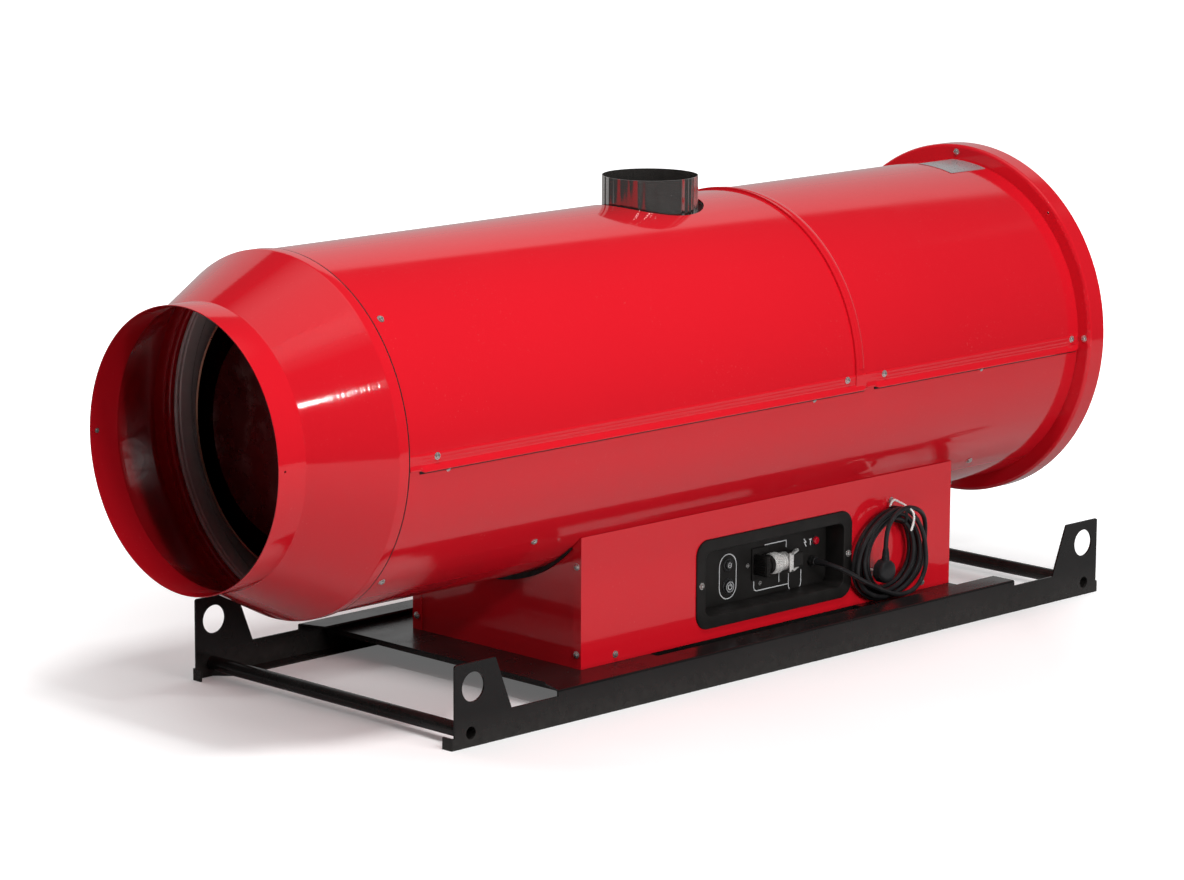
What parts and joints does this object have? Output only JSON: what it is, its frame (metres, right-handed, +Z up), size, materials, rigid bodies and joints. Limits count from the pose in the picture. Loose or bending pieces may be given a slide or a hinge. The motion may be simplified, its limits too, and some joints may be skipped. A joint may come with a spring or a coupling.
{
  "type": "suspended diesel air heater",
  "caption": "Suspended indirect diesel air heater: red round casing with outlet cone, flue collar, axial fan and under-slung control box on a black lifting frame.",
  "frame": {"origin": "bottom centre of the bounding box of the heater without its cord, on the plane of the rail feet", "axes": "+X along the casing from the warm-air outlet to the fan, +Z up, control side towards -Y"},
  "size_m": [1.7216, 0.5868, 0.7394],
  "materials": {
    "red_paint": "glossy bright red enamel",
    "black_paint": "semi-gloss black powder coat",
    "label_foil": "bare satin foil",
    "liner_steel": "rolled stainless sheet",
    "drum_steel": "heat-tinted stainless, coppery at the rim",
    "chamber_steel": "dull heat-resistant steel",
    "chamber_face": "dark heat-resistant enamel, glossy",
    "polished_stainless": "polished stainless steel",
    "machined_steel": "machined",
    "cast_aluminium": "as cast",
    "fan_aluminium": "sheet, satin",
    "motor_enamel": "satin black enamel",
    "copper_pipe": "drawn copper, slightly dull",
    "ceramic": "glazed white ceramic",
    "potting": "moulded housing",
    "tray_plastic": "matte black moulding",
    "button_plastic": "black cap",
    "bright_nickel": "nickel plated",
    "red_lens": "clear red lens",
    "gland_nylon": "black nylon",
    "seal_rubber": "black foam rubber",
    "zinc_screw": "bright zinc plate",
    "cord_rubber": "black rubber sheath, semi-matte",
    "tie_white": "white coated wire"
  },
  "bodies": {
    "heater": {"blank_plate": "label_foil", "blast_tube": "chamber_steel", "box_back_panel": "red_paint", "box_base": "black_paint", "box_fan_end": "red_paint", "box_front_panel": "red_paint", "box_outlet_end": "red_paint", "box_screws": "zinc_screw", "burner_flange": "machined_steel", "burner_housing": "cast_aluminium", "burner_motor": "motor_enamel", "cable_gland": "gland_nylon", "casing_screws": "zinc_screw", "chamber_disc": "chamber_face", "combustion_chamber": "chamber_steel", "control_tray": "tray_plastic", "cord_coil": "cord_rubber", "cord_lead": "cord_rubber", "cord_plug": "cord_rubber", "cord_tail": "cord_rubber", "cord_tie": "tie_white", "electrodes": "ceramic", "exchanger_drum": "drum_steel", "exchanger_feet": "liner_steel", "fan_cross_tube": "black_paint", "fan_guard": "black_paint", "fan_motor": "motor_enamel", "fan_shelf": "black_paint", "far_rail": "black_paint", "flame_control_unit": "potting", "flange_bolts": "machined_steel", "flue_collar": "polished_stainless", "frame_bolts": "zinc_screw", "front_cover": "red_paint", "fuel_pipe": "copper_pipe", "fuel_pump": "cast_aluminium", "ignition_transformer": "potting", "inner_duct": "liner_steel", "lower_shell": "red_paint", "motor_bracket": "black_paint", "near_rail": "black_paint", "nozzle_line": "machined_steel", "outlet_cone": "red_paint", "outlet_cross_tube": "black_paint", "outlet_shelf": "black_paint", "power_lamp": "red_lens", "rear_cover": "red_paint", "rear_ring": "red_paint", "saddle_seals": "seal_rubber", "thermostat_socket": "tray_plastic"},
    "fan": {"fan_shaft": "machined_steel", "fan_hub": "cast_aluminium", "fan_blades": "fan_aluminium"},
    "burner_fan": {"burner_shaft": "machined_steel", "burner_impeller": "fan_aluminium"},
    "reset_button": {"reset_button": "button_plastic"},
    "power_button": {"power_button": "button_plastic"},
    "plug": {"thermostat_plug": "tray_plastic", "plug_shell": "bright_nickel"},
    "latch": {"plug_latch": "bright_nickel"}
  },
  "joints": [
    {"name": "fan_spin", "type": "hinge", "parent": "heater", "child": "fan", "pos_m": [0.61925, 0, 0.43], "axis": [1, 0, 0], "continuous": true},
    {"name": "burner_fan_spin", "type": "hinge", "parent": "heater", "child": "burner_fan", "pos_m": [0.32625, 0, 0.43], "axis": [0, 1, 0], "continuous": true},
    {"name": "reset_press", "type": "slide", "parent": "heater", "child": "reset_button", "axis": [0, 1, 0], "range_m": [0, 0.003], "stiffness_N_per_m": 400},
    {"name": "power_press", "type": "slide", "parent": "heater", "child": "power_button", "axis": [0, 1, 0], "range_m": [0, 0.003], "stiffness_N_per_m": 500},
    {"name": "plug_pull", "type": "slide", "parent": "heater", "child": "plug", "axis": [1, 0, 0], "range_m": [0, 0.02]},
    {"name": "latch_swing", "type": "hinge", "parent": "plug", "child": "latch", "pos_m": [0.23595, -0.1789, 0.135], "axis": [0, 0, 1], "range_deg": [0, 100]}
  ]
}
